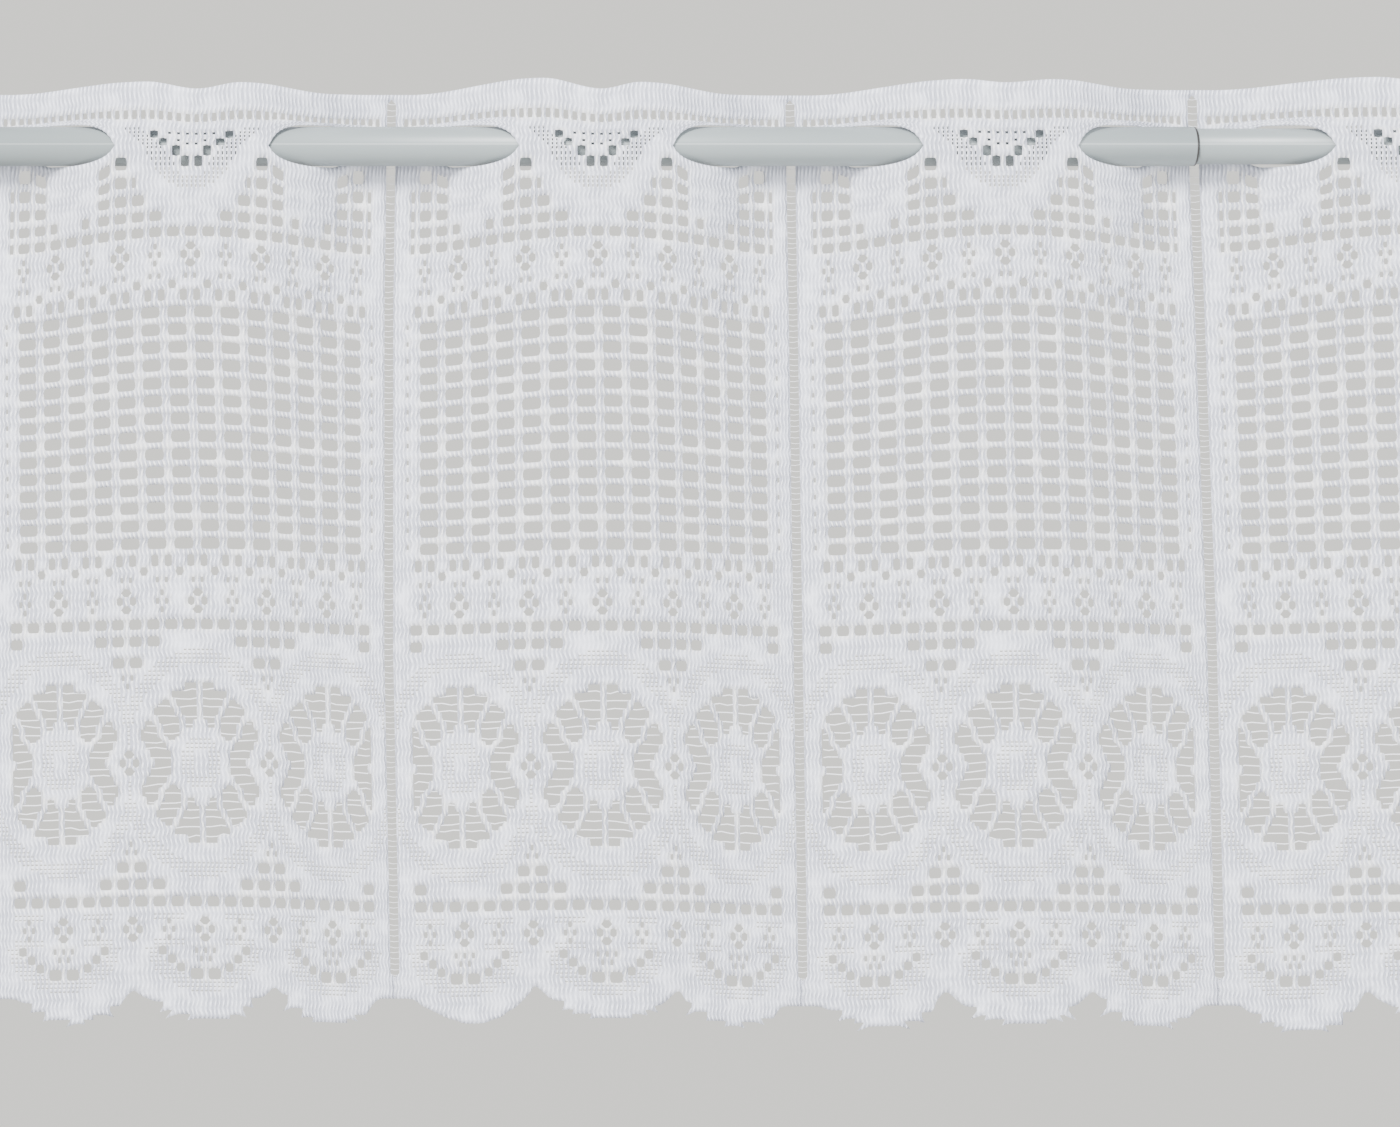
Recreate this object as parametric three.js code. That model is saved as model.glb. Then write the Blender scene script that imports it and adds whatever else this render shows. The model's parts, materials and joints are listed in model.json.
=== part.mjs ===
// A cafe curtain of white raschel lace, woven over a telescopic rod that clamps in a window recess.
// Millimetres. X runs along the rod from left to right, Y from the room to the window, Z is up.
// The origin is the centre of the left end cap's outer face, on the rod's axis.
import * as THREE from 'three';

// Rod: two thin steel tubes, one sliding in the other, with a soft cap on each end.
const rodLength = 652;
const outerTubeDiameter = 14.6;
const tubeWall = 0.35;
const clearance = 0.3;
const outerTubeEnd = 468.8;
const tubeOverlap = 90;
const capDiameter = 19;
const capLength = 15;
const capFloor = 2.5;
const capEdge = 1.2;
const roundSteps = 36;

const outerTubeRadius = outerTubeDiameter / 2;
const innerTubeRadius = outerTubeRadius - tubeWall - clearance;

// Lace: four repeats of one pattern, side by side. Across a repeat the cloth is counted in wales,
// the knit's columns; down it, in millimetres of cloth below the slits that the rod runs through.
const panelCount = 4;
const walesPerPanel = 98;
const centreWale = 49;
const sheetThickness = 1;
const borderWales = 5;
const halfLadderWales = 1.5;
const bridgeHalfWales = 18;
const turnedBackWales = 42;

// The cloth passes in front of the rod at each repeat's centre and behind it at the seams.
const weaveDepth = outerTubeRadius + clearance + sheetThickness / 2 + 0.1;
const backLipRise = 4.3;
const headingHeight = 17;
const headingTop = 18.9;
const lowerWaveShare = 0.5;
const hemLevel = 320;
const waveRounding = { from: 10, to: 90 };

// Seams between the repeats, as x at four heights: they flare a little towards the hem. Each sags by
// its own amount, which is given at five heights.
const seamLevels = [-17, 51, 180, 306];
const sagLevels = [0, 40, 140, 184, 273];
const seams = [
  { x: [22.0, 21.1, 21.9, 23.6], sag: [0, 1.5, 0.8, 0.5, 0.4], headingRise: 0.6, hem: 308.6 },
  { x: [170.4, 169.4, 169.4, 171.9], sag: [0, 1.4, 1.2, 1.4, 1.8], headingRise: 0.0, hem: 307.4 },
  { x: [318.2, 319.3, 321.2, 323.0], sag: [0, 1.3, 1.4, 1.9, 3.1], headingRise: 0.4, hem: 308.2 },
  { x: [467.3, 469.9, 474.6, 477.5], sag: [0, 0.3, 0.8, 1.3, 2.8], headingRise: 2.2, hem: 308.2 },
  { x: [615.7, 620.0, 624.5, 628.2], sag: [0, 1.0, 1.4, 2.0, 3.3], headingRise: 0.8, hem: 307.1 },
];

// Each repeat's heading stands up in two soft humps beside its centre, and its hem has three scallops
// with cusps between them. Its centre sways aside, by an amount given at four heights.
const repeats = [
  {
    leftHump: 39, leftRise: 5.4, dip: 2.0, rightHump: 60, rightRise: 5.0,
    cusps: [304.3, 301.9], scallops: [316.5, 315.7, 316.3], sway: [-1.5, -1.5, 0.8, 1.8],
  },
  {
    leftHump: 37, leftRise: 6.1, dip: 2.4, rightHump: 59, rightRise: 5.0,
    cusps: [302.5, 303.6], scallops: [316.1, 314.5, 316.4], sway: [-0.6, 0.0, 0.8, 0.4],
  },
  {
    leftHump: 41, leftRise: 6.1, dip: 4.6, rightHump: 61, rightRise: 6.3,
    cusps: [304.0, 304.1], scallops: [317.0, 316.0, 316.8], sway: [0.4, 0.3, 0.3, 0.3],
  },
  {
    leftHump: 41, leftRise: 7.0, dip: 5.4, rightHump: 60, rightRise: 6.2,
    cusps: [303.8, 302.8], scallops: [317.1, 315.6, 315.8], sway: [0.4, 0.0, 0.0, -0.3],
  },
];
const swayLevels = [0, 62, 140, 273];
const humpFoot = { left: 12, middle: 50, right: 84 };
const scallopEdges = [borderWales, 33, 65, walesPerPanel - borderWales];
const scallopRoundness = 2.2;

// Where a wale lies across its hung repeat: the sloping sides of the folds look narrower.
// The last repeat lies flatter on its left side.
const acrossWales = [0, 5, 33, 49, 65, 93, 98];
const usualShares = [0, 0.047, 0.341, 0.52, 0.693, 0.958, 1];
const lastShares = [0, 0.053, 0.362, 0.55, 0.713, 0.958, 1];

// How far the cloth's rows rise from the seams to each repeat's centre.
const bowLevels = [0, 61, 142, 274, 330];
const bows = [6.7, 6.6, 2.3, 2.0, 1.8];
const seamDrop = 6.0;
const lipFadeLevel = 22;

// Open net in the middle of each repeat, cut at twice the pitch of the knitted one.
const net = { firstWale: 7, columns: 7, cellWales: 12, topLevel: 57.7, rows: 7, cellHeight: 12.52 };
const netBar = { wales: 2.4, height: 3.8 };

// Three oval medallions a repeat: a ring of openings between bars, around a closed middle.
const medallions = {
  wales: [17, 49, 81],
  level: 222.9,
  outerWales: 13.5,
  outerHeight: 30,
  innerWales: 7.2,
  innerHeight: 13.2,
  openings: 8,
  barHalfAngle: 0.085,
  sideClip: 0.7,
  arcSteps: 2,
};
const medallionZone = { top: 189, bottom: 258 };

function mix(a, b, share) {
  return a + (b - a) * share;
}

function ease(from, to, value) {
  const t = THREE.MathUtils.clamp((value - from) / (to - from), 0, 1);
  return t * t * (3 - 2 * t);
}

// Straight-line reading of a list of values that are known at rising places.
function read(places, values, place) {
  const last = places.length - 1;
  let next = 1;
  while (next < last && place > places[next]) next += 1;
  const span = places[next] - places[next - 1];
  const share = THREE.MathUtils.clamp((place - places[next - 1]) / span, 0, 1);
  return mix(values[next - 1], values[next], share);
}

// The wave in and out of the rod: -1 in front, +1 behind.
function weave(wale, level) {
  const away = Math.abs(wale - centreWale);
  const woven = 2 * ease(bridgeHalfWales, turnedBackWales, away) - 1;
  const rolling = -Math.cos((2 * Math.PI * (wale - centreWale)) / walesPerPanel);
  return mix(woven, rolling, ease(waveRounding.from, waveRounding.to, level));
}

function depthAt(wale, level) {
  const share = Math.max(level, 0) / hemLevel;
  return weaveDepth * (1 - (1 - lowerWaveShare) * share) * weave(wale, level);
}

// Half the height to which the rod holds a slit open; the outer selvedges are closed behind the rod.
function slitHalfHeight(panel, wale) {
  const closedLeft = panel === 0 && wale <= borderWales;
  const closedRight = panel === panelCount - 1 && wale >= walesPerPanel - borderWales;
  if (closedLeft || closedRight || Math.abs(wale - centreWale) <= bridgeHalfWales) return 0;
  const depth = depthAt(wale, 0);
  const hugging = Math.sqrt(Math.max(weaveDepth ** 2 - depth ** 2, 0));
  return depth > 0 ? Math.max(hugging, backLipRise) : hugging;
}

function headingEdge(panel, wale) {
  const row = repeats[panel];
  const left = seams[panel].headingRise;
  const right = seams[panel + 1].headingRise;
  const knots = [
    { wale: 0, rise: left },
    { wale: humpFoot.left, rise: left },
    { wale: row.leftHump, rise: row.leftRise },
    { wale: humpFoot.middle, rise: row.dip },
    { wale: row.rightHump, rise: row.rightRise },
    { wale: humpFoot.right, rise: right },
    { wale: walesPerPanel, rise: right },
  ];
  const next = Math.max(1, knots.findIndex((knot) => knot.wale >= wale));
  const from = knots[next - 1];
  const to = knots[next];
  return headingTop + mix(from.rise, to.rise, ease(from.wale, to.wale, wale));
}

function hemEdge(panel, wale) {
  const row = repeats[panel];
  const leftHem = seams[panel].hem;
  const rightHem = seams[panel + 1].hem;
  const [start, first, second, end] = scallopEdges;
  if (wale <= start) return leftHem;
  if (wale >= end) return rightHem;
  const index = wale < first ? 0 : wale < second ? 1 : 2;
  const edges = [leftHem, row.cusps[0], row.cusps[1], rightHem];
  const share = (wale - scallopEdges[index]) / (scallopEdges[index + 1] - scallopEdges[index]);
  const chord = mix(edges[index], edges[index + 1], share);
  const fullness = 1 - Math.abs(2 * share - 1) ** scallopRoundness;
  return chord + (row.scallops[index] - chord) * fullness;
}

// The middle of the sheet. A point of the heading has a negative level, a point of the skirt a
// positive one, and at level 0 the heading's and the skirt's sides of a slit are told apart by name.
function hang({ panel, wale, level, part }) {
  const left = seams[panel];
  const right = seams[panel + 1];
  const across = read(acrossWales, panel === panelCount - 1 ? lastShares : usualShares, wale);
  const arch = (1 + Math.cos((2 * Math.PI * (wale - centreWale)) / walesPerPanel)) / 2;
  const straightX = mix(read(seamLevels, left.x, level), read(seamLevels, right.x, level), across);
  const x = straightX + arch * read(swayLevels, repeats[panel].sway, level);
  const opening = slitHalfHeight(panel, wale);
  if (part === 'heading') {
    const z = mix(opening, headingEdge(panel, wale), -level / headingHeight);
    return new THREE.Vector3(x, depthAt(wale, 0), z);
  }
  const seamSags = [read(sagLevels, left.sag, level), read(sagLevels, right.sag, level)];
  const sag = mix(...seamSags, wale / walesPerPanel);
  const resting = read(bowLevels, bows, level) * arch - seamDrop - sag;
  const z = mix(-opening, resting, ease(0, lipFadeLevel, level)) - level;
  return new THREE.Vector3(x, depthAt(wale, level), z);
}

// The way out of the sheet's back, square to the cloth, from small steps across and down it.
function towardsBack(point) {
  const step = 0.5;
  const inward = point.wale > centreWale ? -step : step;
  const down = point.part === 'heading' ? -step : step;
  const here = hang(point);
  const across = hang({ ...point, wale: point.wale + inward }).sub(here).multiplyScalar(Math.sign(inward));
  across.z = 0;
  const along = hang({ ...point, level: point.level + down }).sub(here).multiplyScalar(Math.sign(down));
  along.x = 0;
  return new THREE.Vector3().crossVectors(across, along).normalize();
}

// The sheet is built from tiles that share their corners, each a polygon with or without holes.
const sheet = { points: [], keys: new Map(), triangles: [] };

function pointIndex(point) {
  const atSeam = point.wale === walesPerPanel && point.panel < panelCount - 1;
  const panel = atSeam ? point.panel + 1 : point.panel;
  const wale = atSeam ? 0 : point.wale;
  const joined = point.level === 0 && slitHalfHeight(panel, wale) === 0;
  const part = joined ? 'joined' : point.part;
  const key = [panel, wale.toFixed(4), point.level.toFixed(4), part].join(' ');
  if (!sheet.keys.has(key)) {
    sheet.keys.set(key, sheet.points.length);
    sheet.points.push({ ...point, panel, wale });
  }
  return sheet.keys.get(key);
}

// Ear cutting drops a corner that lies on a straight edge, so for it the outline's sides are drawn
// pinched in by a hair.
function addTile(outline, holes) {
  const pinch = 0.01;
  const sum = outline.reduce((total, p) => total.add(flat(p)), new THREE.Vector2());
  const middle = sum.divideScalar(outline.length);
  const size = outline.reduce((span, p) => span.max(flat(p).sub(middle)), new THREE.Vector2(1, 1));
  const drawn = outline.map((p) => {
    const spot = flat(p).sub(middle);
    const u = spot.x / size.x;
    const v = spot.y / size.y;
    spot.x *= 1 - pinch * (1 - v * v);
    spot.y *= 1 - pinch * (1 - u * u);
    return spot.add(middle);
  });
  const corners = [outline, ...holes].flat();
  const drawnHoles = holes.map((hole) => hole.map(flat));
  THREE.ShapeUtils.triangulateShape(drawn, drawnHoles).forEach((triangle) => {
    const [a, b, c] = triangle.map((corner) => flat(corners[corner]));
    const turn = b.clone().sub(a).cross(c.clone().sub(a));
    const ids = triangle.map((corner) => pointIndex(corners[corner]));
    sheet.triangles.push(turn > 0 ? ids : [ids[0], ids[2], ids[1]]);
  });
}

function flat(point) {
  return new THREE.Vector2(point.wale, point.level);
}

// A closed strip of cloth across a panel, zipped between an upper and a lower line of corners.
function addStrip(panel, part, upper, lower) {
  const corner = (line, wale) => ({ panel, wale, level: line.level(wale), part });
  let above = 0;
  let below = 0;
  while (above < upper.wales.length - 1 || below < lower.wales.length - 1) {
    const nextAbove = upper.wales[above + 1] ?? Infinity;
    const nextBelow = lower.wales[below + 1] ?? Infinity;
    const from = corner(upper, upper.wales[above]);
    const to = corner(lower, lower.wales[below]);
    const next = nextAbove <= nextBelow ? corner(upper, nextAbove) : corner(lower, nextBelow);
    sheet.triangles.push([from, next, to].map(pointIndex));
    if (nextAbove <= nextBelow) above += 1;
    else below += 1;
  }
}

// A row of tiles across a panel, split at breaks, each tile with the holes that lie in it.
function addTiles(panel, upper, lower, breaks, holesOf) {
  for (let i = 0; i + 1 < breaks.length; i += 1) {
    const within = (wale) => wale >= breaks[i] && wale <= breaks[i + 1];
    const pointsOf = (line) => line.wales.filter(within).map((wale) => (
      { panel, wale, level: line.level(wale), part: 'skirt' }));
    addTile([...pointsOf(upper), ...pointsOf(lower).reverse()], holesOf(breaks[i], breaks[i + 1]));
  }
}

// The first and the last panel end in the middle of a border instead of at a seam.
function withSelvedges(panel, wales) {
  const first = panel === 0 ? halfLadderWales : 0;
  const last = panel === panelCount - 1 ? walesPerPanel - halfLadderWales : walesPerPanel;
  const inner = wales.filter((wale) => wale > first && wale < last);
  return [first, ...inner, last];
}

function evenSteps(from, to, count) {
  return Array.from({ length: count + 1 }, (_, i) => mix(from, to, i / count));
}

function lineAt(level, wales) {
  return { level: () => level, wales };
}

function netHole(panel, firstWale, topLevel) {
  const left = firstWale + netBar.wales / 2;
  const right = firstWale + net.cellWales - netBar.wales / 2;
  const top = topLevel + netBar.height / 2;
  const bottom = topLevel + net.cellHeight - netBar.height / 2;
  const corners = [[left, top], [right, top], [right, bottom], [left, bottom]];
  return corners.map(([wale, level]) => ({ panel, wale, level, part: 'skirt' }));
}

// One opening of a medallion: a piece of the ring, cut straight where the repeat's border stops it.
function medallionHole(panel, wale, index) {
  const sector = (2 * Math.PI) / medallions.openings;
  const start = index * sector + medallions.barHalfAngle;
  const end = (index + 1) * sector - medallions.barHalfAngle;
  const low = borderWales + medallions.sideClip;
  const high = walesPerPanel - low;
  const corner = (angle, halfWales, halfHeight) => ({
    panel,
    wale: THREE.MathUtils.clamp(wale + halfWales * Math.cos(angle), low, high),
    level: medallions.level + halfHeight * Math.sin(angle),
    part: 'skirt',
  });
  const outside = evenSteps(start, end, medallions.arcSteps).map((angle) => (
    corner(angle, medallions.outerWales, medallions.outerHeight)));
  const innerStart = start + medallions.barHalfAngle;
  const innerEnd = end - medallions.barHalfAngle;
  const inside = [innerEnd, innerStart].map((angle) => (
    corner(angle, medallions.innerWales, medallions.innerHeight)));
  return [...outside, ...inside];
}

function medallionHoles(panel, from, to) {
  const wale = medallions.wales.find((centre) => centre > from && centre < to);
  if (wale === undefined) return [];
  return Array.from({ length: medallions.openings }, (_, index) => medallionHole(panel, wale, index));
}

const slitSteps = [7, 10, 13, 16, 19, 22, 25, 28, 31, 37, 43];
const mirroredSteps = slitSteps.map((wale) => walesPerPanel - wale).reverse();
const slitWales = [
  0, borderWales, ...slitSteps, centreWale, ...mirroredSteps, walesPerPanel - borderWales, walesPerPanel,
];
const netEnd = net.firstWale + net.columns * net.cellWales;
const netWales = [0, ...evenSteps(net.firstWale, netEnd, net.columns), walesPerPanel];
const medallionSteps = 14;
const scallopSteps = 6;
const medallionBreaks = [0, ...scallopEdges, walesPerPanel];
const medallionWales = evenSteps(0, walesPerPanel, medallionSteps)
  .concat(medallionBreaks)
  .sort((a, b) => a - b);
const scallopWales = scallopEdges.slice(1).flatMap((edge, i) => (
  evenSteps(scallopEdges[i], edge, scallopSteps).slice(1)));
const hemWales = [0, borderWales, ...scallopWales, walesPerPanel];
const headingLines = [-headingHeight, -headingHeight / 2, 0];
const upperSkirtLevels = [0, 11, 33, net.topLevel];
const netBottom = net.topLevel + net.rows * net.cellHeight;
const underNetLevel = 167;
const hemBandLevel = 290;

for (let panel = 0; panel < panelCount; panel += 1) {
  const slit = withSelvedges(panel, slitWales);
  const netColumns = withSelvedges(panel, netWales);
  const ovals = withSelvedges(panel, medallionWales);
  const ovalBreaks = withSelvedges(panel, medallionBreaks);
  const hem = withSelvedges(panel, hemWales);
  headingLines.slice(1).forEach((level, i) => {
    addStrip(panel, 'heading', lineAt(headingLines[i], slit), lineAt(level, slit));
  });
  upperSkirtLevels.slice(1).forEach((level, i) => {
    addStrip(panel, 'skirt', lineAt(upperSkirtLevels[i], slit), lineAt(level, slit));
  });
  evenSteps(net.topLevel, netBottom, net.rows).slice(1).forEach((level, row) => {
    const top = level - net.cellHeight;
    const upperWales = row === 0 ? slit : netColumns;
    const holesOf = (from, to) => (to - from === net.cellWales ? [netHole(panel, from, top)] : []);
    addTiles(panel, lineAt(top, upperWales), lineAt(level, netColumns), netColumns, holesOf);
  });
  addStrip(panel, 'skirt', lineAt(netBottom, netColumns), lineAt(underNetLevel, slit));
  addStrip(panel, 'skirt', lineAt(underNetLevel, slit), lineAt(medallionZone.top, ovals));
  addTiles(panel, lineAt(medallionZone.top, ovals), lineAt(medallionZone.bottom, ovals), ovalBreaks,
    (from, to) => medallionHoles(panel, from, to));
  addStrip(panel, 'skirt', lineAt(medallionZone.bottom, ovals), lineAt(hemBandLevel, hem));
  const hemLine = { level: (wale) => hemEdge(panel, wale), wales: hem };
  addStrip(panel, 'skirt', lineAt(hemBandLevel, hem), hemLine);
}

// Front and back faces a sheet's thickness apart, closed along every free edge.
function sheetGeometry() {
  const middles = sheet.points.map(hang);
  const normals = sheet.points.map(towardsBack);
  const half = sheetThickness / 2;
  const front = middles.map((point, i) => point.clone().addScaledVector(normals[i], -half));
  const back = middles.map((point, i) => point.clone().addScaledVector(normals[i], half));
  const count = middles.length;
  const faces = [];
  const edges = new Map();
  sheet.triangles.forEach((ids) => {
    faces.push([ids[0], ids[2], ids[1]], ids.map((id) => id + count));
    ids.forEach((id, i) => {
      const next = ids[(i + 1) % ids.length];
      const twin = `${next} ${id}`;
      if (edges.has(twin)) edges.delete(twin);
      else edges.set(`${id} ${next}`, [id, next]);
    });
  });
  edges.forEach(([from, to]) => {
    faces.push([from, to, to + count], [from, to + count, from + count]);
  });
  const geometry = new THREE.BufferGeometry();
  const positions = [...front, ...back].flatMap((point) => point.toArray());
  geometry.setAttribute('position', new THREE.Float32BufferAttribute(positions, 3));
  geometry.setIndex(faces.flat());
  geometry.computeVertexNormals();
  return geometry;
}

// A turned piece whose profile is given as [along the rod, radius] pairs.
function turned(profile) {
  const points = profile.map(([along, radius]) => new THREE.Vector2(radius, along));
  return new THREE.LatheGeometry(points, roundSteps).rotateZ(-Math.PI / 2);
}

function tubeGeometry(from, to, radius) {
  const bore = radius - tubeWall;
  return turned([[from, bore], [from, radius], [to, radius], [to, bore], [from, bore]]);
}

// A cup over a tube's end, its floor at x = 0 and its mouth towards +X.
function capGeometry(tubeRadius) {
  const radius = capDiameter / 2;
  const bore = tubeRadius + clearance;
  return turned([
    [0, 0],
    [0, radius - capEdge],
    [capEdge, radius],
    [capLength - capEdge / 2, radius],
    [capLength, radius - capEdge / 2],
    [capLength, bore],
    [capFloor, bore],
    [capFloor, 0],
  ]);
}

const laceMaterial = new THREE.MeshStandardMaterial({ color: '#eef0f4', roughness: 0.85, metalness: 0 });
const rodMaterial = new THREE.MeshStandardMaterial({ color: '#bcc5c4', roughness: 0.35, metalness: 0.1 });
const capMaterial = new THREE.MeshStandardMaterial({ color: '#e4e6e6', roughness: 0.6, metalness: 0 });

function named(name, geometry, material) {
  const mesh = new THREE.Mesh(geometry, material);
  mesh.name = name;
  return mesh;
}

const curtain = new THREE.Group();
curtain.add(named('lace', sheetGeometry(), laceMaterial));

const rod = new THREE.Group();
const tubeSeat = capFloor + clearance;
rod.add(named('outer_tube', tubeGeometry(tubeSeat, outerTubeEnd, outerTubeRadius), rodMaterial));
const innerTube = tubeGeometry(outerTubeEnd - tubeOverlap, rodLength - tubeSeat, innerTubeRadius);
rod.add(named('inner_tube', innerTube, rodMaterial));
rod.add(named('left_cap', capGeometry(outerTubeRadius), capMaterial));
const rightCap = named('right_cap', capGeometry(innerTubeRadius), capMaterial);
rightCap.position.x = rodLength;
rightCap.rotation.y = Math.PI;
rod.add(rightCap);
curtain.add(rod);

export default curtain;
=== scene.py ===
"""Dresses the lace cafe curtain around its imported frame: knitted lace, coated rod and rubber caps.

The lace is charted as a knitter would: one cell is one wale wide and one course high, and each repeat
has the same chart. Offsets across the chart are counted in wales from the repeat's centre, and rows
down it from the slits that the rod runs through. The chart is then hung on the rod's waves.
"""
import json
import math

import bpy
import numpy as np
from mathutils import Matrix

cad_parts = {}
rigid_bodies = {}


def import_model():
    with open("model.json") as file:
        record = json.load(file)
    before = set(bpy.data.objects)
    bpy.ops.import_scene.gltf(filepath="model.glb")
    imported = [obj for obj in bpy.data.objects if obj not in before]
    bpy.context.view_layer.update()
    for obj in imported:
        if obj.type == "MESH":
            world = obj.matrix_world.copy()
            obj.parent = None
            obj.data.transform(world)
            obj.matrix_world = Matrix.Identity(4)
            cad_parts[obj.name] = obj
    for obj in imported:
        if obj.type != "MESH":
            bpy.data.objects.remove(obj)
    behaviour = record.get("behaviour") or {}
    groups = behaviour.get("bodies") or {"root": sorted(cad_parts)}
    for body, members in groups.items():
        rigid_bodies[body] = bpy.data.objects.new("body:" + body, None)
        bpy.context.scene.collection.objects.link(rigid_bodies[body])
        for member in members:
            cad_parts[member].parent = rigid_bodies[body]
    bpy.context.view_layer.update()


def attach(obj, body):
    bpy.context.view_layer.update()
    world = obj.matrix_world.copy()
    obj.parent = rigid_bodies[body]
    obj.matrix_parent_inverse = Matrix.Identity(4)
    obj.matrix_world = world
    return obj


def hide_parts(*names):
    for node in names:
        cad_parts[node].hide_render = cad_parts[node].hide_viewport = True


MM = 0.001

# Rod, in millimetres: two tubes, one sliding in the other, with a soft cap on each end.
ROD_LENGTH = 652
ROD_RADIUS = 7.3
INNER_TUBE_RADIUS = 6.65
TUBE_WALL = 0.35
TUBE_OVERLAP = 90
TUBE_SEAT = 2.8
OUTER_TUBE_END = 467.9
CAP_RADIUS = 9.5
CAP_LENGTH = 15
CAP_FLOOR = 2.5
CAP_CLEARANCE = 0.3
CAP_ROUNDING = 1.4
CAP_CHAMFER = 0.6
TURNED_SIDES = 96

# The outer tube's cut end slants a little and is darkened by a band of painted shade.
CUT_SLANT = 0.2
CUT_SHADE_WIDTH = 0.75
CUT_REACH = 1
# A painted highlight line, standing for a reflection, runs along the front of the tubes.
HIGHLIGHT_PLACE = 0.55
HIGHLIGHT_HALF_WIDTH = 0.22

# Lace: repeats, the wales across each and the rows down it, in millimetres of cloth.
PANELS = 4
WALES = 98
CENTRE_WALE = 49
BORDER_WALES = 5
ROW_HEIGHT = 1.57
SLIT_ROW = 0.5
CLOTH_THICKNESS = 0.5
NORMAL_STEP = 0.25

# The wave in and out of the rod, in millimetres, and the bridges of cloth in front of it, in wales.
WEAVE_DEPTH = 8.2
LOWER_WAVE_SHARE = 0.5
HEM_LEVEL = 320
WAVE_ROUNDING = (10, 90)
SKIRT_SLOWNESS = 1.15
BRIDGE_HALF_WALES = 18
TURNED_BACK_WALES = 42
BRIDGE_BULGE = 0.9
BULGE_FADE_LEVEL = 30
SEAM_DROP = 6.0

# The sides of the slits, which the rod holds apart. They round off over a few wales from each bridge.
BACK_LIP_RISE = 4.3
LIP_REACH = 7.7
SKIRT_LIP_ROUNDING = 13
HEADING_LIP_ROUNDING = 8
SKIRT_LIP_BLEND = (0.45, 0.7)
LIP_FADE_LEVEL = 22
LIP_STRETCH = 1.6
STRETCH_GROWS = (0, 7)
STRETCH_FADES = (16, 40)

# Heading: rows above the slits, up to its free edge, with a row of beading holes part of the way.
TOP_ROW = -13
BEADING_ROW = -7.5
HEADING_TOP = 18.9
BEADING_DROP = 10.4
BEADING_DROP_SHARE = 0.45
HEADING_BACK_LIP = -2.8
HEADING_BACK_WALES = (40, 47)
HUMP_FOOT = (5, 50, 82)

# Each seam between repeats: its place along the rod and how far it sags, at these levels down the cloth.
SEAM_LEVELS = (-17, 51, 180, 306)
SAG_LEVELS = (0, 40, 140, 184, 273)
SEAMS = (
    {"x": (22.0, 21.1, 21.9, 23.6), "sag": (0, 1.5, 0.8, 0.5, 0.4), "heading_rise": 0.6, "hem": 308.6},
    {"x": (170.4, 169.4, 169.4, 171.9), "sag": (0, 1.4, 1.2, 1.4, 1.8), "heading_rise": 0.6, "hem": 307.7},
    {"x": (318.2, 319.3, 321.2, 323.0), "sag": (0, 1.3, 1.4, 1.9, 3.1), "heading_rise": 0.4, "hem": 308.9},
    {"x": (467.3, 469.9, 474.6, 477.5), "sag": (0, 0.3, 0.8, 1.3, 2.8), "heading_rise": 2.4, "hem": 309.6},
    {"x": (615.7, 620.0, 624.5, 628.2), "sag": (0, 1.0, 1.4, 2.0, 3.3), "heading_rise": 0.8, "hem": 307.1},
)
REPEATS = (
    {"humps": (39, 60), "rises": (4.6, 2.0, 4.4), "sway": (-1.5, -1.5, 0.8, 1.8),
     "cusps": (305.9, 303.9), "scallops": (318.0, 316.7, 317.6), "jagged": (True, True, True)},
    {"humps": (37, 59), "rises": (6.0, 2.0, 4.5), "sway": (-0.3, 0.0, 0.8, 0.4),
     "cusps": (303.2, 305.0), "scallops": (316.9, 316.1, 316.6), "jagged": (False, True, True)},
    {"humps": (41, 61), "rises": (5.5, 4.3, 5.5), "sway": (0.4, 0.3, 0.3, 0.3),
     "cusps": (304.3, 304.1), "scallops": (317.9, 317.4, 316.9), "jagged": (True, True, True)},
    {"humps": (41, 60), "rises": (6.3, 4.9, 5.5), "sway": (0.4, 0.0, 0.0, -0.3),
     "cusps": (303.8, 302.8), "scallops": (319.3, 316.8, 317.0), "jagged": (True, True, True)},
)
SCALLOP_EDGES = (5, 33, 65, 93)
SCALLOP_ROUNDNESS = 2.2
HEM_STEP_PATTERN = (3, 2, 4)
SMOOTH_FROM_WALES = 11
HEM_SMOOTHING_PASSES = 3

# Yarn ends left at the corners of a stepped hem: their way out, and how their length is spread.
SNIPPED_YARN = (0.9, 0.6)
SNIP_SPREAD = {"shape": 1.5, "scale": 0.45}
SNIP_SEED = 11

# Where a wale lies across its hung repeat, and how far the rows rise from the seams to the centre.
ACROSS_WALES = (0, 5, 33, 49, 65, 93, 98)
ACROSS_SHARES = (
    (0, 0.045, 0.341, 0.52, 0.693, 0.958, 1),
    *[(0, 0.047, 0.341, 0.52, 0.693, 0.958, 1)] * 2,
    (0, 0.053, 0.362, 0.55, 0.713, 0.958, 1),
)
BOW_LEVELS = (0, 61, 142, 274, 330)
SWAY_LEVELS = (0, 62, 140, 273)
BOWS = (6.7, 6.6, 2.3, 2.0, 1.8)

# The chart: offsets -47 to 47, between the ladders of thin rungs that join the repeats.
EDGE_OFFSET = 47
LAST_ROW = 204
LADDER_EDGE = 47.75
LADDER_LAST_ROW = 191
LADDER_FIRST_ROW = -12
MESH = {"first_bar_row": 37, "rows": 14, "row_step": 4, "half_columns": 7, "column_step": 6,
        "size": (4.3, 2.6), "edge_offset": 44, "edge_size": (0.6, 1.8)}
MESH_MIRROR = 65
FLOWER_STEP = 8
FLOWERS_BESIDE = 5
FLOWER_ROWS = {"above_net": 25.5, "below_net": 104.5, "above_hem": 181.5}
BETWEEN_MEDALLIONS = 16
MEDALLION_OFFSETS = (-32, 0, 32)
MEDALLION_ROW = 142.5
MEDALLION_CLIP = 43
MEDALLION_REACH = (13.5, 19.5)
MEDALLION_RING = (1.2, 1.38)
MEDALLION_MIDDLE = {"half_wales": 4.5, "half_rows": 6.5, "hollow": 0.45}

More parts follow.
